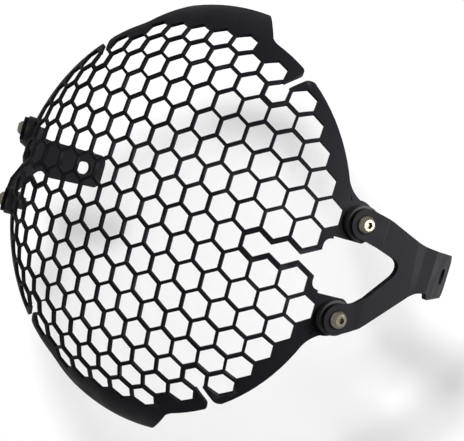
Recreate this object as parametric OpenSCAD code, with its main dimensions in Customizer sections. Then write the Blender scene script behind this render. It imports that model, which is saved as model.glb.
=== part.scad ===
// Hexagon mesh guard for a round motorcycle headlight, bolted in rubber to two bent side brackets.
// Everything is drawn with the guard's axis along z, the crown at z = 0 and the rider behind it,
// then turned so that the guard faces -Y and +Z is up.

/* [Mesh sheet] */
// Thickness of the pressed steel sheet
sheet_t = 2; // [1.2:0.1:3]
// Distance between the centres of neighbouring cells
pitch = 15; // [13:0.5:18]
// Width of the rib left between two cells
rib_w = 1.8; // [1.2:0.1:3]
// Length along the sheet from the middle within which cells are cut
mesh_arc = 109; // [90:0.5:109]
// Radius of the shallow crown
crown_r = 415; // [350:5:500]
// Length along the sheet from the middle to the start of the shoulder
crown_arc = 72; // [66:0.5:76]
// Radius of the shoulder along the sheet
shoulder_r = 80; // [74:0.5:90]
// Length along the sheet from the middle to the rim
rim_arc = 119.5; // [118:0.5:121]

/* [Top and bottom flaps] */
// Length along the sheet from the middle to the flap's edge
flap_arc = 142.5; // [138:0.5:146]
// Half of the flap's width at its edge, before the corner is rounded
flap_tip_half = 30; // [26:0.5:32]
// Half of the flap's width where it leaves the rim
flap_root_half = 43.5; // [41:0.5:46]
// Radius of the flap's outer corners
flap_corner_r = 6; // [3:0.5:8]
// Radius of the hollow between the flap and the rim
flap_fillet_r = 12; // [6:0.5:14]

/* [Relief slits] */
// Width of the four slanted slits
slit_w = 4; // [2.5:0.5:5]
// Offset of a slanted slit from its cell's middle, towards the flap
slit_shift = 1; // [0:0.25:1.5]
// Radius of the rim's corners beside a slanted slit
slit_corner_r = 4.5; // [2:0.5:5]
// Place in the middle row of the first cell that opens into a side slit
side_slit_cell = 5; // [5:1:5]
// Width of the band that lines a side slit
side_band_w = 2.7; // [2:0.1:3]
// Half of the side slit's mouth between the two lugs
mouth_half = 14.5; // [13:0.5:15]
// Radius of the inner corners of the mouth
mouth_fillet_r = 4; // [2:0.5:5]
// Share by which the rows of a petal spread where the pressing closes the slits
petal_close = 0.03; // [0:0.005:0.05]

/* [Lugs] */
// Place of the bolt hole on the flat sheet, from the middle outwards
lug_x = 122.5; // [121:0.5:124]
// Place of the bolt hole on the flat sheet, from the middle row up or down
lug_y = 26.8; // [26:0.1:28]
// Radius of the lug's round end
lug_r = 11; // [10.5:0.5:12]
// Distance of the hole outwards from the middle of the lug's round end
lug_hole_shift = 2; // [0:0.25:2.5]
// Radius of the hollow between the lug and the rim
lug_fillet_r = 15; // [10:0.5:18]

/* [Bolted joints] */
// Diameter of the bolt
bolt_d = 5; // [4:0.5:6]
// Length of the bolt under its head
bolt_len = 16; // [15:0.5:20]
// Diameter of the button head
head_d = 9.5; // [9:0.1:10.5]
// Height of the button head
head_h = 2.75; // [2.2:0.05:3.3]
// Diameter of the flat land round the socket
head_land_d = 5.6; // [5:0.1:6]
// Height of the straight rim under the button head's dome
head_rim_h = 0.35; // [0.2:0.05:0.6]
// Width across flats of the hexagon socket
socket_w = 3; // [2.5:0.1:4]
// Depth of the hexagon socket
socket_depth = 1.6; // [1:0.1:2]
// Gap round the bolt in each plate and rubber
bolt_gap = 0.25; // [0.1:0.05:0.5]
// Gap between the bolt's thread and the nut
thread_gap = 0.05; // [0.02:0.01:0.1]
// Diameter of the rubber spacer under the bracket
spacer_d = 18; // [16:0.5:20]
// Thickness of the rubber spacer at the bolt
spacer_t = 3; // [2.5:0.25:5]
// Diameter of the rubber washer behind the lug
rubber_d = 14; // [12:0.5:15]
// Thickness of the rubber washer at the bolt
rubber_t = 1.6; // [1.5:0.1:3]
// Diameter of the steel washer
washer_d = 10; // [9:0.5:12]
// Thickness of the steel washer
washer_t = 1; // [0.8:0.1:1.6]
// Width across flats of the nut
nut_w = 8; // [7:0.5:9]
// Height of the nut
nut_h = 4; // [3:0.25:5]

/* [Brackets] */
// Thickness of the bracket plate
plate_t = 2.5; // [2:0.1:4]
// Tilt of the eye's face from the guard's axis, in degrees
eye_tilt = 47; // [44:1:50]
// Radius of the two eyes
eye_r = 7.8; // [7:0.1:8.5]
// Length from the eyes to the first bend
arm_len = 11; // [10:0.5:14]
// Angle of the first bend, in degrees
first_bend = 18.5; // [12:0.5:24]
// Length from the first bend to the second
yoke_len = 45.5; // [42:0.5:52]
// Length from the second bend to the end of the tab
tab_len = 69; // [62:0.5:78]
// Inner radius of both bends
bend_r = 4; // [3:0.5:6]
// Height of the lower edge of the upper arm at the first bend
upper_arm_low = 14.5; // [12:0.5:16]
// Height of the upper edge of the upper arm at the first bend
upper_arm_high = 30; // [28:0.5:32]
// Height of the lower edge of the lower arm at the first bend
lower_arm_low = -26.5; // [-30:0.5:-24]
// Height of the upper edge of the lower arm at the first bend
lower_arm_high = -9.5; // [-12:0.5:-8]
// Distance from the first bend to the end of the window
window_end = 15.5; // [13:0.5:18]
// Height of the middle of the window's end above the guard's axis
window_rise = 6; // [4:0.5:8]
// Radius of the window's end
window_r = 6; // [4:0.5:7]
// Slope of the window's lower edge, in degrees
window_slope = 32; // [28:1:36]
// Height of the middle of the tab above the guard's axis
tab_rise = 7.5; // [6:0.5:9]
// Height of the tab
tab_w = 28; // [26:0.5:30]
// Height of the plate at its narrowest, in front of the second bend
neck_w = 24; // [22:0.5:25]
// Length of the even stretch in front of the second bend, along the lower edge
neck_len = 9; // [6:0.5:12]
// Length of the even stretch in front of the second bend, along the upper edge
neck_top_len = 12.5; // [6:0.5:16]
// Height that each edge of the neck loses or gains up to the second bend
neck_fall = 0.7; // [0.2:0.1:2]
// Radius of the tab's corners
tab_corner_r = 8; // [4:0.5:10]
// Distance from the second bend to the middle of the mounting slot
slot_from_bend = 44; // [36:0.5:50]
// Length of the mounting slot
slot_len = 16; // [12:0.5:20]
// Height of the mounting slot
slot_w = 10; // [8.5:0.5:10.5]

/* [Hidden] */
CORNERS = [["upper_right", 1, 1], ["lower_right", 1, -1], ["upper_left", -1, 1], ["lower_left", -1, -1]];
STACK = ["bolt", "spacer", "inner_rubber", "washer", "nut"];
$fn = 96;

row_h = pitch * sqrt(3) / 2;
cell_apothem = (pitch - rib_w) / 2;
crown_end = crown_arc / crown_r * 180 / PI;
// Height by which the shoulder's arc starts above the crown's, so that the two cross in one clean edge
crease = 0.03;
shoulder_x = (crown_r - shoulder_r + crease) * sin(crown_end);
shoulder_z = (crown_r - shoulder_r + crease) * cos(crown_end) - crown_r;
// Cutters reach this far past the face that they cut
over = 5;

// Turn of the dome about its axis, which keeps its start off the lines of the lattice
seam_turn = 4;

slit_cell = [4 * pitch, 6 * row_h];
slit_turn = atan2(slit_cell[1], slit_cell[0]);
close_from = 5 * pitch;
close_over = 3 * pitch;

lug_mid = [lug_x - lug_hole_shift, lug_y];
side_slit_x = side_slit_cell * pitch - cell_apothem;
band_apothem = cell_apothem + side_band_w;
mouth_x = (side_slit_cell + 1.5) * pitch + band_apothem;

// Angle between the sheet's outward normal and the axis, at a length s along the sheet
function slope(s) = s <= crown_arc
    ? s / crown_r * 180 / PI
    : crown_end + (s - crown_arc) / shoulder_r * 180 / PI;

// Distance from the axis, and height, of the sheet's outer face at a length s along the sheet
function reach(s) = s <= crown_arc ? crown_r * sin(slope(s)) : shoulder_x + shoulder_r * sin(slope(s));
function height(s) = s <= crown_arc ? crown_r * (cos(slope(s)) - 1) : shoulder_z + shoulder_r * cos(slope(s));

// Direction of the middle line of the petal that holds the direction turn, from 0 to 180 degrees
function petal_mid(turn) = turn < slit_turn ? slit_turn / 2 : turn < 180 - slit_turn ? 90 : 180 - slit_turn / 2;

// Direction round the axis that a point of the flat sheet takes when it is pressed
function pressed(p) =
    let (turn = abs(atan2(p[1], p[0])))
    let (spread = petal_close * max(0, norm(p) - close_from) / close_over)
    abs(p[1]) < 0.001
        ? atan2(p[1], p[0])
        : sign(p[1]) * (petal_mid(turn) + (turn - petal_mid(turn)) * (1 + spread));

// Point of the line through p along the unit vector d that lies at a distance r from the middle
function along(p, d, r, side) = p + d * (-p * d + side * sqrt(pow(p * d, 2) - p * p + r * r));

// Unit vector, and a vector turned a quarter to the left
function unit(v) = v / norm(v);
function left(v) = [-v[1], v[0]];

// Places its children on the outer face at a length s and a direction turn, x outwards, z along the normal
module at_length(s, turn) {
    rotate([0, 0, turn]) translate([reach(s), 0, height(s)]) rotate([0, slope(s), 0]) children();
}

// Places its children on the outer face over the point p of the flat sheet, with x and y as on the flat sheet
module on_sheet(p) {
    at_length(norm(p), pressed(p)) rotate([0, 0, -atan2(p[1], p[0])]) children();
}

// A cutter that passes through the sheet, with the outline of its children
module through(depth = sheet_t + over) {
    translate([0, 0, -depth]) linear_extrude(depth + over) children();
}

// Half section of what lies under the dome's face, at a depth below its outer face
module under_face(depth) {
    far = 2 * crown_r;
    end = slope(flap_arc);
    intersection() {
        translate([0, -crown_r]) circle(crown_r - depth, $fn = 512);
        union() {
            translate([shoulder_x, shoulder_z]) circle(shoulder_r - depth, $fn = 512);
            polygon([[0, -crown_r], [0, far], [far * sin(crown_end), far * cos(crown_end) - crown_r]]);
        }
        polygon([
            [0, shoulder_z],
            [shoulder_x, shoulder_z],
            [shoulder_x + far * sin(end), shoulder_z + far * cos(end)],
            [far, far],
            [0, far]
        ]);
    }
}

// The pressed sheet before it is cut
module dome() {
    rotate_extrude($fn = 128) difference() {
        under_face(0);
        under_face(sheet_t);
    }
}

// Ring of the shoulder from one length along the sheet to another, thicker than the sheet on both sides
module shoulder_ring(from, to) {
    far = 2 * shoulder_r;
    rotate_extrude($fn = 128) translate([shoulder_x, shoulder_z]) intersection() {
        difference() {
            circle(shoulder_r + over);
            circle(shoulder_r - sheet_t - over);
        }
        polygon([[0, 0], for (a = [slope(from), slope(to)]) far * [sin(a), cos(a)]]);
    }
}

// Solid behind the shoulder, at a depth below its outer face
module behind_shoulder(depth) {
    rotate_extrude($fn = 360) intersection() {
        translate([shoulder_x, shoulder_z]) circle(shoulder_r - depth, $fn = 512);
        translate([0, shoulder_z]) square(2 * shoulder_r);
    }
}

// Copies its children to all four quarters of the guard
module quarters() {
    for (x = [0, 1]) for (y = [0, 1]) mirror([x, 0, 0]) mirror([0, y, 0]) children();
}

// Hexagon with two corners up and down
module hexagon(apothem) {
    rotate(30) circle(apothem / cos(30), $fn = 6);
}

// One hexagon cell through the sheet wherever the flat lattice has one, apart from the side slits
module cells() {
    rows = floor(mesh_arc / row_h);
    columns = floor(2 * mesh_arc / pitch);
    for (row = [-rows:rows]) for (column = [-columns:columns]) {
        p = [column * pitch / 2, row * row_h];
        in_side_slit = row == 0 && abs(p[0]) > (side_slit_cell - 0.5) * pitch;
        if ((row + column) % 2 == 0 && norm(p) < mesh_arc && !in_side_slit)
            on_sheet(p) through() hexagon(cell_apothem);
    }
}

// The part of a lug that stands out past the rim, with the hollow that blends it into the rim
module lug_outline() {
    on_sheet(lug_mid) through() circle(lug_r);
    far = rim_arc + lug_fillet_r;
    turn = atan2(lug_mid[1], lug_mid[0])
        + acos((lug_mid * lug_mid + far * far - pow(lug_r + lug_fillet_r, 2)) / (2 * norm(lug_mid) * far));
    hollow = far * [cos(turn), sin(turn)];
    on_sheet(hollow) through() difference() {
        polygon([[0, 0], lug_mid - hollow, unit(hollow) * (rim_arc - 1) - hollow]);
        circle(lug_fillet_r);
    }
}

// Half of a flap: the region inside its slanted side, and the hollow at the side's foot
module flap_outline() {
    root = [flap_root_half, sqrt(pow(rim_arc, 2) - pow(flap_root_half, 2))];
    tip = [flap_tip_half, sqrt(pow(flap_arc, 2) - pow(flap_tip_half, 2))];
    side = unit(tip - root);
    in = left(side);
    middle = (root + tip) / 2;
    on_sheet([0, middle[1]]) through(sheet_t + 2 * over)
        translate([-flap_tip_half, -pitch] + [over, 0]) square([2 * (flap_tip_half - over), 3 * pitch]);
    on_sheet(middle) through() polygon([
        root - side * over - middle,
        tip + side * over - middle,
        tip + side * over + in * pitch - middle,
        root - side * over + in * pitch - middle
    ]);
    hollow = along(root - in * flap_fillet_r, side, rim_arc + flap_fillet_r, 1);
    on_sheet(hollow) through() difference() {
        polygon([
            [0, 0],
            in * (flap_fillet_r + 1),
            root - unit(root) * 2 + in - hollow,
            unit(hollow) * (rim_arc - 1) - hollow
        ]);
        circle(flap_fillet_r);
    }
}

// Rounds the outer corner of a flap
module flap_corner() {
    root = [flap_root_half, sqrt(pow(rim_arc, 2) - pow(flap_root_half, 2))];
    tip = [flap_tip_half, sqrt(pow(flap_arc, 2) - pow(flap_tip_half, 2))];
    side = unit(tip - root);
    out = -left(side);
    corner = along(tip - out * flap_corner_r, side, flap_arc - flap_corner_r, 1);
    on_sheet(corner) through() difference() {
        polygon([
            [0, 0],
            out * (flap_corner_r + 1),
            tip + 2 * (out + unit(tip)) - corner,
            unit(corner) * (flap_corner_r + 1)
        ]);
        circle(flap_corner_r);
    }
}

// Everything outside the rim, the lugs and the flaps
module outside() {
    difference() {
        shoulder_ring(rim_arc, flap_arc + over);
        quarters() {
            lug_outline();
            flap_outline();
        }
    }
}

// A slanted slit from its cell out through the rim, with rounded corners at its mouth
module slanted_slit() {
    turn = slit_turn + slit_shift / rim_arc * 180 / PI;
    inner = norm(slit_cell);
    at_length((inner + rim_arc) / 2, turn) through(sheet_t + over)
        translate([(inner - rim_arc) / 2, -slit_w / 2]) square([rim_arc - inner + over, slit_w]);
    round_at = slit_w / 2 + slit_corner_r;
    at_length(rim_arc - slit_corner_r, turn) through() difference() {
        translate([0, -round_at]) square([slit_corner_r + over, 2 * round_at]);
        for (y = [-round_at, round_at]) translate([0, y]) circle(slit_corner_r);
    }
}

// A side slit: its inner cells follow the banded cells above and below, and it opens between the two lugs
module side_slit() {
    slit_len = lug_x + lug_r + over - side_slit_x;
    difference() {
        at_length(side_slit_x, 0) translate([0, -mouth_half, -flap_arc / 2])
            cube([slit_len, 2 * mouth_half, flap_arc / 2 + 2 * over]);
        for (y = [-1, 1]) {
            for (x = [-0.5:1.5])
                on_sheet([(side_slit_cell + x) * pitch, y * row_h])
                    through(sheet_t + 2 * over) hexagon(band_apothem);
            corner = [mouth_x + mouth_fillet_r, y * (mouth_half - mouth_fillet_r)];
            on_sheet(corner) through() difference() {
                translate([-mouth_fillet_r - 1, y > 0 ? 0 : -2 * mouth_fillet_r])
                    square([mouth_fillet_r + 1, 2 * mouth_fillet_r]);
                circle(mouth_fillet_r);
            }
        }
    }
}

// The whole guard: one sheet, cut flat and pressed to a dome
module mesh_guard() {
    color("#26262a") difference() {
        rotate([0, 0, seam_turn]) dome();
        outside();
        cells();
        quarters() {
            slanted_slit();
            flap_corner();
        }
        side_slit();
        mirror([1, 0, 0]) side_slit();
        for (corner = CORNERS)
            at_corner(corner) cylinder(d = bolt_d + 2 * bolt_gap, h = 8 * sheet_t, center = true);
    }
}

// Where the bolt's axis meets the outer face of the upper right lug
lug_turn = pressed([lug_x, lug_y]);
lug_arc = norm([lug_x, lug_y]);
bolt_at = [reach(lug_arc) * cos(lug_turn), reach(lug_arc) * sin(lug_turn), height(lug_arc)];

// Places its children on the bolt's axis at one corner: z outwards along the bolt, x towards the tab
module at_corner(corner) {
    mirror([corner[1] < 0 ? 1 : 0, 0, 0]) mirror([0, corner[2] < 0 ? 1 : 0, 0])
        translate(bolt_at) rotate([0, eye_tilt, 0]) children();
}

// Button-head bolt, from its tip up to the hexagon socket in its head
module bolt() {
    seat = spacer_t + plate_t;
    rim = head_d / 2;
    land = head_land_d / 2;
    cap_z = (land * land + head_h * head_h - rim * rim - head_rim_h * head_rim_h) / (2 * (head_h - head_rim_h));
    cap_r = norm([rim, head_rim_h - cap_z]);
    chamfer = bolt_d / 10;
    color("#c9c9c4") translate([0, 0, seat]) difference() {
        rotate_extrude() {
            intersection() {
                translate([0, cap_z]) circle(cap_r, $fn = 128);
                square([rim, head_h]);
            }
            translate([0, -bolt_len]) polygon([
                [0, 0],
                [bolt_d / 2 - chamfer, 0],
                [bolt_d / 2, chamfer],
                [bolt_d / 2, bolt_len + head_rim_h / 2],
                [0, bolt_len + head_rim_h / 2]
            ]);
        }
        translate([0, 0, head_h - socket_depth])
            cylinder(d = socket_w / cos(30), h = socket_depth + over, $fn = 6);
    }
}

// Ring of a given outer diameter round the bolt, between two heights on its axis
module ring(d, from, to) {
    translate([0, 0, from]) difference() {
        cylinder(d = d, h = to - from);
        translate([0, 0, -over]) cylinder(d = bolt_d + 2 * bolt_gap, h = to - from + 2 * over);
    }
}

// Thick rubber spacer, flat under the bracket and moulded to the domed face of the lug
module spacer(corner) {
    color("#141415") difference() {
        at_corner(corner) ring(spacer_d, -over, spacer_t);
        behind_shoulder(0);
    }
}

// Thin rubber washer behind the lug, moulded to the hollow face and flat under the steel washer
module inner_rubber(corner) {
    color("#141415") intersection() {
        at_corner(corner) ring(rubber_d, -sheet_t - rubber_t, over);
        behind_shoulder(sheet_t);
    }
}

// Plain steel washer
module washer() {
    seat = -sheet_t - rubber_t;
    color("#303033") ring(washer_d, seat - washer_t, seat);
}

// Hexagon nut with chamfered corners
module nut() {
    seat = -sheet_t - rubber_t - washer_t;
    crown = nut_w / 2 * 1.02;
    color("#303033") translate([0, 0, seat - nut_h]) difference() {
        intersection() {
            cylinder(d = nut_w / cos(30), h = nut_h, $fn = 6);
            rotate_extrude() polygon([[0, 0], [crown, 0], [nut_w, nut_h], [0, nut_h]]);
        }
        translate([0, 0, -over]) cylinder(d = bolt_d + 2 * thread_gap, h = nut_h + 2 * over);
    }
}

// Height of the eyes above and below the guard's axis, and of the tab's edges
eye_y = bolt_at[1];
tab_high = tab_rise + tab_w / 2;
tab_low = tab_rise - tab_w / 2;
neck_low = tab_high - neck_w;
second_bend = 90 - eye_tilt - first_bend;
// Length by which an outline reaches back past a bend, so that it crosses the outline before it
lap = 4;
// Length by which an outline stops short of a bend
short = 0.5;
// Centres of the two bends in a top view, x along the eyes' plate and y out of its face
bend_1 = [arm_len, -bend_r];
bend_2 = bend_1 + yoke_len * [cos(first_bend), -sin(first_bend)];
bend_steps = 4;

// The frames of the eyes' plate, of the yoke and of the tab, each with x along the plate and z out of its face
module yoke_frame() {
    translate([arm_len, 0, -bend_r]) rotate([0, first_bend, 0]) translate([0, 0, bend_r]) children();
}
module tab_frame() {
    yoke_frame() translate([yoke_len, 0, -bend_r]) rotate([0, second_bend, 0]) translate([0, 0, bend_r])
        children();
}

// Arc of a bend between two directions, d outside the plate's inner face
function bend_arc(middle, d, from, to) =
    [for (i = [0:bend_steps]) let (a = from + (to - from) * i / bend_steps) middle + (bend_r + d) * [sin(a), cos(a)]];

// Points of one face of the bent plate in a top view, d outside its inner face
function plate_face(d) =
    let (turn = first_bend + second_bend)
    let (end = bend_2 + (tab_len + over) * [cos(turn), -sin(turn)] + (bend_r + d) * [sin(turn), cos(turn)])
    concat(
        [[-2 * eye_r, d]],
        bend_arc(bend_1, d, 0, first_bend),
        bend_arc(bend_2, d, first_bend, turn),
        [end]
    );

// The bent plate before its outline is cut
module bent_plate() {
    inner = plate_face(0);
    rotate([90, 0, 0]) linear_extrude(4 * tab_w, center = true)
        polygon(concat(plate_face(plate_t), [for (i = [len(inner) - 1:-1:0]) inner[i]]));
}

// Point a lap before p on the line from q through p
function before(p, q) = p - (q - p) * lap / (q[0] - p[0]);

// The two eyes and the arms that lead from them to the first bend
module arms_outline() {
    half = eye_r - short / 2;
    for (arm = [[eye_y, upper_arm_low, upper_arm_high], [-eye_y, lower_arm_low, lower_arm_high]]) {
        translate([0, arm[0]]) circle(eye_r);
        polygon([
            [0, arm[0] - half],
            [arm_len - short, arm[1]],
            [arm_len - short, arm[2]],
            [0, arm[0] + half]
        ]);
    }
}

// The yoke between the bends, where the arms run together round the window's end
module yoke_outline() {
    top = [0, upper_arm_high];
    bottom = [0, lower_arm_low];
    neck_top = [yoke_len - neck_top_len, tab_high + neck_fall];
    neck_bottom = [yoke_len - neck_len, neck_low - neck_fall];
    window = [window_end - window_r, window_rise];
    window_top = [0, upper_arm_low];
    window_bottom = [0, lower_arm_high];
    slope_end = window + window_r * [sin(window_slope), -cos(window_slope)];
    difference() {
        polygon([
            before(top, neck_top),
            neck_top,
            [yoke_len - short, tab_high],
            [yoke_len - short, neck_low],
            neck_bottom,
            before(bottom, neck_bottom)
        ]);
        translate(window) circle(window_r);
        polygon([
            before(before(window_bottom, slope_end), slope_end),
            slope_end,
            window + [0, window_r],
            before(before(window_top, window + [0, window_r]), window + [0, window_r])
        ]);
    }
}

// The tab behind the second bend, with its rounded end and its mounting slot
module tab_outline() {
    corner_x = tab_len - tab_corner_r;
    slot_end = (slot_len - slot_w) / 2;
    difference() {
        union() {
            polygon([
                [-lap, tab_high - neck_fall / 2],
                [short, tab_high],
                [corner_x, tab_high],
                [corner_x, tab_low],
                [lap + over, tab_low],
                [short, neck_low],
                [-lap, neck_low + neck_fall]
            ]);
            translate([corner_x - over, tab_low + tab_corner_r])
                square([tab_corner_r + over, tab_w - 2 * tab_corner_r]);
            for (y = [tab_low + tab_corner_r, tab_high - tab_corner_r])
                translate([corner_x, y]) circle(tab_corner_r);
        }
        translate([slot_from_bend, tab_rise]) {
            square([2 * slot_end, slot_w], center = true);
            for (x = [-slot_end, slot_end]) translate([x, 0]) circle(d = slot_w);
        }
    }
}

// The right bracket, a plate with two bends; the left one is its mirror image
module bracket() {
    reach_out = 8 * plate_t;
    color("#2b2b30") difference() {
        translate(bolt_at - [0, bolt_at[1], 0]) rotate([0, eye_tilt, 0]) translate([0, 0, spacer_t])
            intersection() {
                bent_plate();
                union() {
                    linear_extrude(reach_out, center = true) arms_outline();
                    yoke_frame() linear_extrude(reach_out, center = true) yoke_outline();
                    tab_frame() linear_extrude(reach_out, center = true) tab_outline();
                }
            }
        for (corner = [CORNERS[0], CORNERS[1]])
            at_corner(corner) translate([0, 0, spacer_t - over])
                cylinder(d = bolt_d + 2 * bolt_gap, h = plate_t + 2 * over);
    }
}

// Depth of the whole part, from the crown to the ends of the tabs
depth = -bolt_at[2] - spacer_t * cos(eye_tilt) + arm_len * sin(eye_tilt) + bend_r * cos(eye_tilt)
    + yoke_len * sin(eye_tilt + first_bend) + tab_len;

// Turns the part to face -Y, with its origin in the middle of its box
module place() {
    translate([0, -depth / 2, 0]) rotate([90, 0, 0]) children();
}

place() mesh_guard();
place() bracket();  // right_bracket
place() mirror([1, 0, 0]) bracket();  // left_bracket
for (corner = CORNERS) {
    place() at_corner(corner) bolt();
    place() spacer(corner);
    place() inner_rubber(corner);
    place() at_corner(corner) washer();
    place() at_corner(corner) nut();
}
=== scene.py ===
"""Looks of a hexagon-mesh guard for a round motorcycle headlight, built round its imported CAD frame."""

import math

import bmesh
import bpy
from mathutils import Matrix, Vector


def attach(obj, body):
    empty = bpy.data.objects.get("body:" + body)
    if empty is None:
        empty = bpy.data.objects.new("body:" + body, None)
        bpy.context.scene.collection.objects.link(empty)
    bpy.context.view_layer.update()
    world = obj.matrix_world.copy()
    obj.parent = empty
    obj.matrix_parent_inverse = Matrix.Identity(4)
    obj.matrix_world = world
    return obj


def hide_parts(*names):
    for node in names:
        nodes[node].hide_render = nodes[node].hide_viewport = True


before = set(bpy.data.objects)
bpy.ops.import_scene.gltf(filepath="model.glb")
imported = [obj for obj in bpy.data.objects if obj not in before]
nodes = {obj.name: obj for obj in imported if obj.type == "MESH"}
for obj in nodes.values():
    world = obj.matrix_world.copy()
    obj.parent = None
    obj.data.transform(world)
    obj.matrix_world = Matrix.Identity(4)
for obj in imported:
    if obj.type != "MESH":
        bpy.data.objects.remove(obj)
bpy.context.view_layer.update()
CORNERS = ("upper_right", "lower_right", "upper_left", "lower_left")

# Mesh guard
# One mild steel sheet, cut flat by laser with its cells and slits and pressed to a dome.
# It is powder coated after pressing, so the coat runs over every edge in a small round.
GUARD_ROUND = 0.00022
GUARD_BLACK = "#101014"
GUARD_WORN = "#29292d"
PEEL_MM = 0.9
CLOUD_MM = 14


def linear(code):
    """An sRGB hex colour as linear red, green, blue and alpha."""
    parts = [int(code[i : i + 2], 16) / 255 for i in (1, 3, 5)]
    return [v / 12.92 if v <= 0.04045 else ((v + 0.055) / 1.055) ** 2.4 for v in parts] + [1]


def add_node(tree, kind, settings, links):
    """Adds a shader node, gives it its settings and input values, and links its inputs to other sockets."""
    node = tree.nodes.new("ShaderNode" + kind)
    for key, value in settings.items():
        if key in node.inputs:
            node.inputs[key].default_value = value
        else:
            setattr(node, key, value)
    for key, source in links.items():
        tree.links.new(source, node.inputs[key])
    return node


def add_piece(name, mesh, width, segments):
    """The object of a finished mesh, with its sharp edges rounded."""
    for face in mesh.polygons:
        face.use_smooth = True
    mesh.set_sharp_from_angle(angle=math.radians(28))
    piece = bpy.data.objects.new(name, mesh)
    bpy.context.collection.objects.link(piece)
    rounding = piece.modifiers.new("rounded_edges", "BEVEL")
    rounding.width = width
    rounding.segments = segments
    rounding.limit_method = "ANGLE"
    rounding.angle_limit = math.radians(28)
    rounding.harden_normals = True
    flats = piece.modifiers.new("flat_faces_shade_flat", "WEIGHTED_NORMAL")
    flats.keep_sharp = True
    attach(piece, "root")
    return piece


def softened_copy(node_name, width, segments):
    """A copy of a CAD node whose sharp edges are rounded, in place of the node."""
    mesh = bpy.data.meshes.new(node_name + "_look")
    solid = bmesh.new()
    solid.from_mesh(nodes[node_name].data)
    bmesh.ops.remove_doubles(solid, verts=solid.verts, dist=1e-6)
    bmesh.ops.dissolve_degenerate(solid, edges=solid.edges, dist=1e-6)
    solid.to_mesh(mesh)
    solid.free()
    for name in ("custom_normal", "sharp_edge"):
        if name in mesh.attributes:
            mesh.attributes.remove(mesh.attributes[name])
    mesh.materials.clear()
    piece = add_piece(node_name + "_look", mesh, width, segments)
    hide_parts(node_name)
    return piece


# Satin powder coat: near black, with the soft orange peel of melted powder, a slow change of
# gloss from one place to the next, and edges that the coat leaves a little thinner and greyer.
# The peel is drawn at twice its real grain so that it shows.
powder_coat = bpy.data.materials.new("satin_black_powder_coat")
powder_coat.use_nodes = True
tree = powder_coat.node_tree
shader = tree.nodes["Principled BSDF"]
place = add_node(tree, "TexCoord", {}, {}).outputs["Object"]
peel = add_node(tree, "TexNoise", {"Scale": 1000 / PEEL_MM, "Detail": 2.0}, {"Vector": place})
cloud = add_node(tree, "TexNoise", {"Scale": 1000 / CLOUD_MM, "Detail": 3.0}, {"Vector": place})
edge = add_node(tree, "NewGeometry", {}, {}).outputs["Pointiness"]
worn = add_node(
    tree, "MapRange", {"From Min": 0.52, "From Max": 0.6, "To Min": 0.0, "To Max": 0.6}, {"Value": edge}
)
colour = add_node(
    tree,
    "Mix",
    {"data_type": "RGBA"},
    {0: worn.outputs["Result"]},
)
colour.inputs[6].default_value = linear(GUARD_BLACK)
colour.inputs[7].default_value = linear(GUARD_WORN)
gloss = add_node(
    tree, "MapRange", {"From Min": 0.3, "From Max": 0.7, "To Min": 0.5, "To Max": 0.66}, {"Value": cloud.outputs[0]}
)
bump = add_node(tree, "Bump", {"Strength": 0.25, "Distance": 0.00005}, {"Height": peel.outputs[0]})
tree.links.new(colour.outputs[2], shader.inputs["Base Color"])
tree.links.new(gloss.outputs["Result"], shader.inputs["Roughness"])
tree.links.new(bump.outputs["Normal"], shader.inputs["Normal"])
shader.inputs["IOR"].default_value = 1.1

guard = softened_copy("mesh_guard", GUARD_ROUND, 1)
guard.data.materials.append(powder_coat)

# Slit walls
# The four cells that the slanted slits open into have a wall of their own, a little thicker than a rib,
# cut from the same sheet and pressed with it. The side at the slit is open.
PITCH = 15
ROW = PITCH * math.sqrt(3) / 2
SLIT_CELL = (4 * PITCH, 6 * ROW)
WALL_INNER = 5.5
WALL_OUTER = 7.55
WALL_CORNER = 2.6
SHEET = 1.96
SHEET_SINK = 0.02
CROWN_R = 415
CROWN_ARC = 72
SHOULDER_R = 80
HALF_DEPTH = 75.4
MM = 0.001


def pressed(point):
    """The place on the dome, in metres, of a point of the flat sheet given in millimetres."""
    s, turn = math.hypot(point.x, point.y), math.atan2(point.y, point.x)
    crown_end = CROWN_ARC / CROWN_R
    slope = crown_end + (s - CROWN_ARC) / SHOULDER_R
    gap = CROWN_R - SHOULDER_R
    reach = gap * math.sin(crown_end) + (SHOULDER_R + point.z) * math.sin(slope)
    height = gap * math.cos(crown_end) - CROWN_R + (SHOULDER_R + point.z) * math.cos(slope)
    return MM * Vector((reach * math.cos(turn), -height - HALF_DEPTH, reach * math.sin(turn)))


wall = bmesh.new()
hexagon = bmesh.ops.create_circle(wall, cap_ends=True, segments=6, radius=WALL_OUTER / math.cos(math.pi / 6))
bmesh.ops.inset_region(
    wall, faces=wall.faces, thickness=WALL_OUTER - WALL_INNER, use_boundary=True, use_even_offset=True
)
middle = min(wall.faces, key=lambda face: face.calc_center_median().length)
at_slit = max(wall.faces, key=lambda face: face.calc_center_median().dot(Vector((0.5, 0.866, 0))))
bmesh.ops.delete(wall, geom=[middle, at_slit], context="FACES_ONLY")
bmesh.ops.subdivide_edges(wall, edges=wall.edges, cuts=2, use_grid_fill=True)
sheet = bmesh.ops.extrude_face_region(wall, geom=wall.faces)
bmesh.ops.translate(wall, verts=[v for v in sheet["geom"] if isinstance(v, bmesh.types.BMVert)], vec=(0, 0, -SHEET))
bmesh.ops.translate(wall, verts=wall.verts, vec=(*SLIT_CELL, -SHEET_SINK))
for vert in wall.verts:
    vert.co = pressed(vert.co)
bmesh.ops.mirror(wall, geom=wall.verts[:] + wall.edges[:] + wall.faces[:], axis="X", merge_dist=0)
bmesh.ops.mirror(wall, geom=wall.verts[:] + wall.edges[:] + wall.faces[:], axis="Z", merge_dist=0)
bmesh.ops.recalc_face_normals(wall, faces=wall.faces)
walls_mesh = bpy.data.meshes.new("slit_walls")
wall.to_mesh(walls_mesh)
wall.free()
walls_mesh.materials.append(powder_coat)
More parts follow.
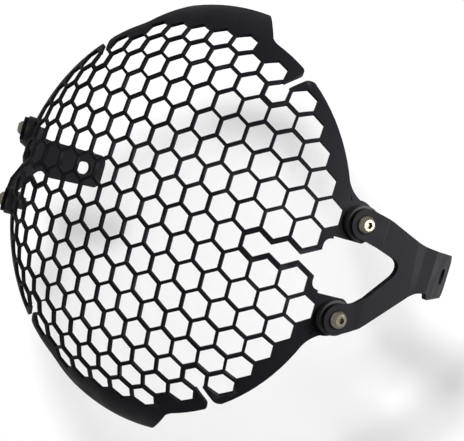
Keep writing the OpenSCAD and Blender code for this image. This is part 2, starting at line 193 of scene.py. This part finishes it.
walls = add_piece("slit_walls", walls_mesh, GUARD_ROUND, 1)

# Rubber spacers
# Thick black rubber rings between the lugs and the brackets, and thin ones behind the lugs.
# They are moulded, so their faces are dull and their corners soft.
RUBBER_ROUND = 0.0004
RUBBER_BLACK = "#0f0f10"
RUBBER_DUSTY = "#1c1c1d"
RUBBER_GRAIN_MM = 0.5

# Moulded rubber: matt black, with fine pitted grain and a grey bloom in patches, which breaks up its dull sheen.
rubber = bpy.data.materials.new("moulded_rubber")
rubber.use_nodes = True
tree = rubber.node_tree
shader = tree.nodes["Principled BSDF"]
place = add_node(tree, "TexCoord", {}, {}).outputs["Object"]
grain = add_node(tree, "TexNoise", {"Scale": 1000 / RUBBER_GRAIN_MM, "Detail": 3.0}, {"Vector": place})
bloom = add_node(tree, "TexNoise", {"Scale": 250.0, "Detail": 4.0}, {"Vector": place})
colour = add_node(tree, "Mix", {"data_type": "RGBA"}, {0: bloom.outputs[0]})
colour.inputs[6].default_value = linear(RUBBER_BLACK)
colour.inputs[7].default_value = linear(RUBBER_DUSTY)
bump = add_node(tree, "Bump", {"Strength": 0.4, "Distance": 0.00006}, {"Height": grain.outputs[0]})
tree.links.new(colour.outputs[2], shader.inputs["Base Color"])
tree.links.new(bump.outputs["Normal"], shader.inputs["Normal"])
shader.inputs["Roughness"].default_value = 0.72
shader.inputs["Specular IOR Level"].default_value = 0.3

for corner in CORNERS:
    for kind in ("_spacer", "_inner_rubber"):
        ring = softened_copy(corner + kind, RUBBER_ROUND, 2)
        ring.data.materials.append(rubber)

# Brackets
# Each is cut from 2.5 mm steel plate with two eyes, an open window and a slotted tab, and bent twice.
# It has the same powder coat as the guard, with both its colours painted a shade darker: painted shade over the whole
# plate.
BRACKET_ROUND = 0.0003
# Painted shade: darker copies of the guard's two coat colours.
BRACKET_BLACK_PAINTED_DARKER = "#0e0e11"
BRACKET_WORN_PAINTED_DARKER = "#202024"

# The same coat on plate, with painted shade: both its colours are a shade darker than the guard's, all over the
# plate.
plate_coat_painted_darker = powder_coat.copy()
plate_coat_painted_darker.name = "satin_powder_coat_on_plate_painted_darker"
for node in plate_coat_painted_darker.node_tree.nodes:
    if node.bl_idname == "ShaderNodeMix":
        node.inputs[6].default_value = linear(BRACKET_BLACK_PAINTED_DARKER)
        node.inputs[7].default_value = linear(BRACKET_WORN_PAINTED_DARKER)

# Outline of the flat blank in millimetres, x from the bolts towards the tab and y up, and how far
# each corner is rounded: the two eyes round the open window, the yoke, and the tab.
BLANK = (
    (-7.8, 32, 7.75),
    (-7.8, 16.4, 7.75),
    (2, 16.4, 2),
    (35.7, 9.33, 12.7),
    (4.5, -16.4, 4),
    (-7.8, -16.4, 7.75),
    (-7.8, -32, 7.75),
    (1.5, -32, 1.4),
    (12.7, -26.6, 6),
    (49.2, -3.4, 5),
    (62, -2.5, 2),
    (69, -6.5, 2),
    (129.4, -6.5, 8),
    (129.4, 21.5, 8),
    (60.4, 21.5, 3),
    (45.7, 22.2, 6),
    (12.7, 30, 5),
    (1, 32, 0.9),
)
SLOT_AT = Vector((104.4, 7.5, 0))
SLOT_HALF = Vector((8, 5, 0))
SLOT_MARGIN = 6
PLATE = 2.5
FOLD_R = 4
FOLDS = ((11, math.radians(18.5)), (58.2, math.radians(24.5)))
FOLD_CUTS = 6
SEAT = 3
TILT = math.radians(47)
BOLT_AT = (114.94, -31.67)


def folded(point):
    """The place on the right bracket, in metres, of a point of its flat blank given in millimetres."""
    x, turn = point.x, 0
    at = Vector((0, 0))
    start = 0
    for fold, angle in FOLDS:
        end = fold + angle * (FOLD_R + PLATE / 2)
        ahead = Vector((math.cos(turn), -math.sin(turn)))
        out = Vector((math.sin(turn), math.cos(turn)))
        if x <= fold:
            break
        middle = at + ahead * (fold - start) - out * FOLD_R
        part = min(1, (x - fold) / (end - fold)) * angle
        turn += part
        at = middle + FOLD_R * Vector((math.sin(turn), math.cos(turn)))
        start = end
        if x <= end:
            break
    ahead = Vector((math.cos(turn), -math.sin(turn)))
    out = Vector((math.sin(turn), math.cos(turn)))
    flat = at + ahead * max(0, x - start) * (x > start) + out * point.z
    if not turn:
        flat = Vector((x, point.z))
    along, up = flat.x, flat.y + SEAT
    across = BOLT_AT[0] + along * math.cos(TILT) + up * math.sin(TILT)
    depth = BOLT_AT[1] - along * math.sin(TILT) + up * math.cos(TILT)
    return MM * Vector((across, -depth - HALF_DEPTH, point.y))


def cut_lines(blank, faces, axis, places):
    """Cuts faces of a flat blank along lines square to an axis, and returns all that came out of them."""
    geom = list({v for f in faces for v in f.verts} | {e for f in faces for e in f.edges} | set(faces))
    for at in places:
        cut = bmesh.ops.bisect_plane(blank, geom=geom, plane_co=axis * at, plane_no=axis, dist=1e-5)
        geom = cut["geom"]
    return [f for f in geom if isinstance(f, bmesh.types.BMFace)]


for side, way in (("right", 1), ("left", -1)):
    blank = bmesh.new()
    corners = [blank.verts.new((x, y, 0)) for x, y, _ in BLANK]
    blank.faces.new(corners)
    for vert, (_, _, offset) in zip(corners, BLANK):
        bmesh.ops.bevel(
            blank, geom=[vert], offset=offset, segments=8, profile=0.5, affect="VERTICES", material=-1
        )
    reach = SLOT_HALF + Vector((SLOT_MARGIN, SLOT_MARGIN, 0))
    band = cut_lines(blank, blank.faces[:], Vector((1, 0, 0)), (SLOT_AT.x - reach.x, SLOT_AT.x + reach.x))
    near = [f for f in band if abs(f.calc_center_bounds().x - SLOT_AT.x) < reach.x]
    near = cut_lines(blank, near, Vector((0, 1, 0)), (SLOT_AT.y - reach.y, SLOT_AT.y + reach.y))
    slot_face = min(near, key=lambda f: (f.calc_center_bounds() - SLOT_AT).length)
    bmesh.ops.inset_individual(blank, faces=[slot_face], thickness=SLOT_MARGIN, use_even_offset=True)
    bmesh.ops.bevel(
        blank,
        geom=slot_face.verts[:],
        offset=SLOT_HALF.y - 0.02,
        segments=8,
        profile=0.5,
        affect="VERTICES",
        material=-1,
    )
    slot_face = min(blank.faces, key=lambda f: (f.calc_center_bounds() - SLOT_AT).length)
    bmesh.ops.delete(blank, geom=[slot_face], context="FACES_ONLY")
    plate = bmesh.ops.extrude_face_region(blank, geom=blank.faces[:])
    top = [v for v in plate["geom"] if isinstance(v, bmesh.types.BMVert)]
    bmesh.ops.translate(blank, verts=top, vec=(0, 0, PLATE))
    bmesh.ops.triangulate(blank, faces=blank.faces[:])
    for fold, angle in FOLDS:
        length = angle * (FOLD_R + PLATE / 2)
        places = [fold + length * i / FOLD_CUTS for i in range(FOLD_CUTS + 1)]
        cut_lines(blank, blank.faces[:], Vector((1, 0, 0)), places)
    for vert in blank.verts:
        vert.co = folded(vert.co)
        vert.co.x *= way
    bmesh.ops.remove_doubles(blank, verts=blank.verts, dist=1e-6)
    bmesh.ops.dissolve_limit(
        blank, angle_limit=math.radians(0.5), verts=blank.verts[:], edges=blank.edges[:]
    )
    bmesh.ops.recalc_face_normals(blank, faces=blank.faces)
    blank_mesh = bpy.data.meshes.new(side + "_bracket_look")
    blank.to_mesh(blank_mesh)
    blank.free()
    blank_mesh.materials.append(plate_coat_painted_darker)
    bracket = add_piece(side + "_bracket_look", blank_mesh, BRACKET_ROUND, 2)
    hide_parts(side + "_bracket")

# Bolts
# Stainless button-head bolts with a hexagon socket, turned from bar, one through each eye and lug.
BOLT_ROUND = 0.00012
STEEL_BRIGHT = "#7c766c"
STEEL_DULL = "#4a4437"
TURNING_MM = 0.35

# Turned stainless steel: bright metal with a fine even grain for its turning marks and cloudy polish,
# which spread each reflection a little. The grain is drawn coarser than the lathe leaves its marks.
stainless = bpy.data.materials.new("turned_stainless_steel")
stainless.use_nodes = True
tree = stainless.node_tree
shader = tree.nodes["Principled BSDF"]
place = add_node(tree, "TexCoord", {}, {}).outputs["Object"]
polish = add_node(tree, "TexNoise", {"Scale": 600.0, "Detail": 3.0}, {"Vector": place})
turning = add_node(tree, "TexNoise", {"Scale": 1000 / TURNING_MM, "Detail": 1.0}, {"Vector": place})
colour = add_node(tree, "Mix", {"data_type": "RGBA"}, {0: polish.outputs[0]})
colour.inputs[6].default_value = linear(STEEL_BRIGHT)
colour.inputs[7].default_value = linear(STEEL_DULL)
gloss = add_node(
    tree, "MapRange", {"From Min": 0.3, "From Max": 0.7, "To Min": 0.18, "To Max": 0.34}, {"Value": polish.outputs[0]}
)
bump = add_node(tree, "Bump", {"Strength": 0.1, "Distance": 0.00003}, {"Height": turning.outputs[0]})
tree.links.new(colour.outputs[2], shader.inputs["Base Color"])
tree.links.new(gloss.outputs["Result"], shader.inputs["Roughness"])
tree.links.new(bump.outputs["Normal"], shader.inputs["Normal"])
shader.inputs["Metallic"].default_value = 1

for corner in CORNERS:
    bolt = softened_copy(corner + "_bolt", BOLT_ROUND, 2)
    bolt.data.materials.append(stainless)

# Washers and nuts
# Steel, blackened chemically, behind each lug: a plain washer, and a hexagon nut on the bolt's end.
NUT_ROUND = 0.00015
OXIDE_BLACK = "#232325"
OXIDE_WORN = "#4a4a4c"

# Black oxide: a thin dark skin on steel, metallic under it, with brighter rubbed patches.
black_oxide = bpy.data.materials.new("black_oxide_steel")
black_oxide.use_nodes = True
tree = black_oxide.node_tree
shader = tree.nodes["Principled BSDF"]
place = add_node(tree, "TexCoord", {}, {}).outputs["Object"]
rubbed = add_node(tree, "TexNoise", {"Scale": 400.0, "Detail": 4.0}, {"Vector": place})
colour = add_node(tree, "Mix", {"data_type": "RGBA"}, {0: rubbed.outputs[0]})
colour.inputs[6].default_value = linear(OXIDE_BLACK)
colour.inputs[7].default_value = linear(OXIDE_WORN)
gloss = add_node(
    tree, "MapRange", {"From Min": 0.3, "From Max": 0.7, "To Min": 0.5, "To Max": 0.36}, {"Value": rubbed.outputs[0]}
)
tree.links.new(colour.outputs[2], shader.inputs["Base Color"])
tree.links.new(gloss.outputs["Result"], shader.inputs["Roughness"])
shader.inputs["Metallic"].default_value = 0.8

for corner in CORNERS:
    for kind in ("_washer", "_nut"):
        fastener = softened_copy(corner + kind, NUT_ROUND, 1)
        fastener.data.materials.append(black_oxide)

# Camera
# A normal lens, a third of a metre in front of the guard and to its right, rolled by seventeen degrees.
PHOTO_WIDTH = 464
FOCAL_PIXELS = 612.5
SENSOR_MM = 36
EYE = Vector((0.19517, -0.34233, 0.0200))
AHEAD = Vector((-0.44598, 0.89415, -0.04002))
UP = Vector((-0.26538, -0.08940, 0.95999))

lens = bpy.data.cameras.new("camera")
lens.sensor_width = SENSOR_MM
lens.sensor_fit = "HORIZONTAL"
lens.lens = FOCAL_PIXELS / PHOTO_WIDTH * SENSOR_MM
camera = bpy.data.objects.new("camera", lens)
bpy.context.collection.objects.link(camera)
RIGHT = AHEAD.cross(UP)
turned = Matrix((RIGHT, UP, -AHEAD)).transposed().to_4x4()
camera.matrix_world = Matrix.Translation(EYE) @ turned
bpy.context.scene.camera = camera

# Backdrop
# White paper, square to the camera and far enough behind to take one soft shadow of the whole guard.
# Its back is left open, so that the guard can be seen from there too.
PAPER_AWAY = 1.3
PAPER_HALF = 3
paper_mesh = bpy.data.meshes.new("paper")
sheet = bmesh.new()
bmesh.ops.create_grid(sheet, x_segments=1, y_segments=1, size=PAPER_HALF)
bmesh.ops.transform(sheet, matrix=Matrix.Translation(EYE + AHEAD * PAPER_AWAY) @ turned, verts=sheet.verts)
sheet.to_mesh(paper_mesh)
sheet.free()
paper = bpy.data.objects.new("paper", paper_mesh)
bpy.context.collection.objects.link(paper)

# Plain matt paper, with only a faint mottle in its white.
paper_white = bpy.data.materials.new("matt_white_paper")
paper_white.use_nodes = True
tree = paper_white.node_tree
shader = tree.nodes["Principled BSDF"]
place = add_node(tree, "TexCoord", {}, {}).outputs["Object"]
mottle = add_node(tree, "TexNoise", {"Scale": 30.0}, {"Vector": place})
colour = add_node(tree, "Mix", {"data_type": "RGBA"}, {0: mottle.outputs[0]})
colour.inputs[6].default_value = linear("#fafafa")
colour.inputs[7].default_value = linear("#f8f8f8")
tree.links.new(colour.outputs[2], shader.inputs["Base Color"])
shader.inputs["Roughness"].default_value = 1
shader.inputs["Specular IOR Level"].default_value = 0
back = add_node(tree, "NewGeometry", {}, {}).outputs["Backfacing"]
clear = add_node(tree, "BsdfTransparent", {}, {})
either = add_node(tree, "MixShader", {}, {0: back, 1: shader.outputs[0], 2: clear.outputs[0]})
tree.links.new(either.outputs[0], tree.nodes["Material Output"].inputs["Surface"])
paper_mesh.materials.append(paper_white)

# Light
# A white room all round, at a low even level, and soft boxes over the camera's left and at the guard's right.
# A small lamp above the camera lights the paper alone, and the guard's soft shadow falls there.
ROOM = 0.18
world = bpy.data.worlds.new("studio")
world.use_nodes = True
bpy.context.scene.world = world
tree = world.node_tree
ray = add_node(tree, "LightPath", {}, {})
seen = add_node(
    tree, "Math", {"operation": "MAXIMUM"}, {0: ray.outputs["Is Camera Ray"], 1: ray.outputs["Is Glossy Ray"]}
)
shown = add_node(
    tree, "Math", {"operation": "MAXIMUM"}, {0: seen.outputs[0], 1: ray.outputs["Is Transmission Ray"]}
)
level = add_node(tree, "MapRange", {"To Min": ROOM, "To Max": 1.0}, {"Value": shown.outputs[0]})
background = tree.nodes["Background"]
background.inputs["Color"].default_value = (1, 1, 1, 1)
tree.links.new(level.outputs["Result"], background.inputs["Strength"])


def lamp(name, kind, power, size, position):
    """A lamp that faces the middle of the guard."""
    light = bpy.data.lights.new(name, kind)
    light.energy = power
    if kind == "AREA":
        light.size = size
    else:
        light.shadow_soft_size = size
    holder = bpy.data.objects.new(name, light)
    bpy.context.collection.objects.link(holder)
    holder.matrix_world = Matrix.Translation(position) @ Vector(position).to_track_quat("Z", "Y").to_matrix().to_4x4()
    return holder


not_the_paper = bpy.data.collections.new("left_dark_by_the_soft_boxes")
not_the_paper.objects.link(paper)
not_the_paper.collection_objects[0].light_linking.link_state = "EXCLUDE"
soft_boxes = (
    lamp("soft_box_left", "AREA", 0.5, 0.5, Vector((-0.5, -0.7, 0.8))),
    lamp("soft_box_right", "AREA", 34, 0.6, Vector((0.9, -0.15, 0.35))),
)
for box in soft_boxes:
    box.light_linking.receiver_collection = not_the_paper

over_camera = EYE - RIGHT * 0.030 + UP * 0.083
shadow_lamp = lamp("shadow_lamp", "POINT", 18.5, 0.018, over_camera)
paper_fill = lamp("paper_fill", "SUN", 1, 0, EYE)
paper_fill.data.energy = 1.46
paper_fill.data.use_shadow = False
paper_only = bpy.data.collections.new("lit_for_the_paper")
paper_only.objects.link(paper)
shadow_lamp.light_linking.receiver_collection = paper_only
paper_fill.light_linking.receiver_collection = paper_only
shadow_lamp.data.use_nodes = True
tree = shadow_lamp.data.node_tree
even = add_node(tree, "LightFalloff", {"Strength": 1.0}, {})
tree.links.new(even.outputs["Constant"], tree.nodes["Emission"].inputs["Strength"])

bpy.context.scene.view_settings.view_transform = "Standard"
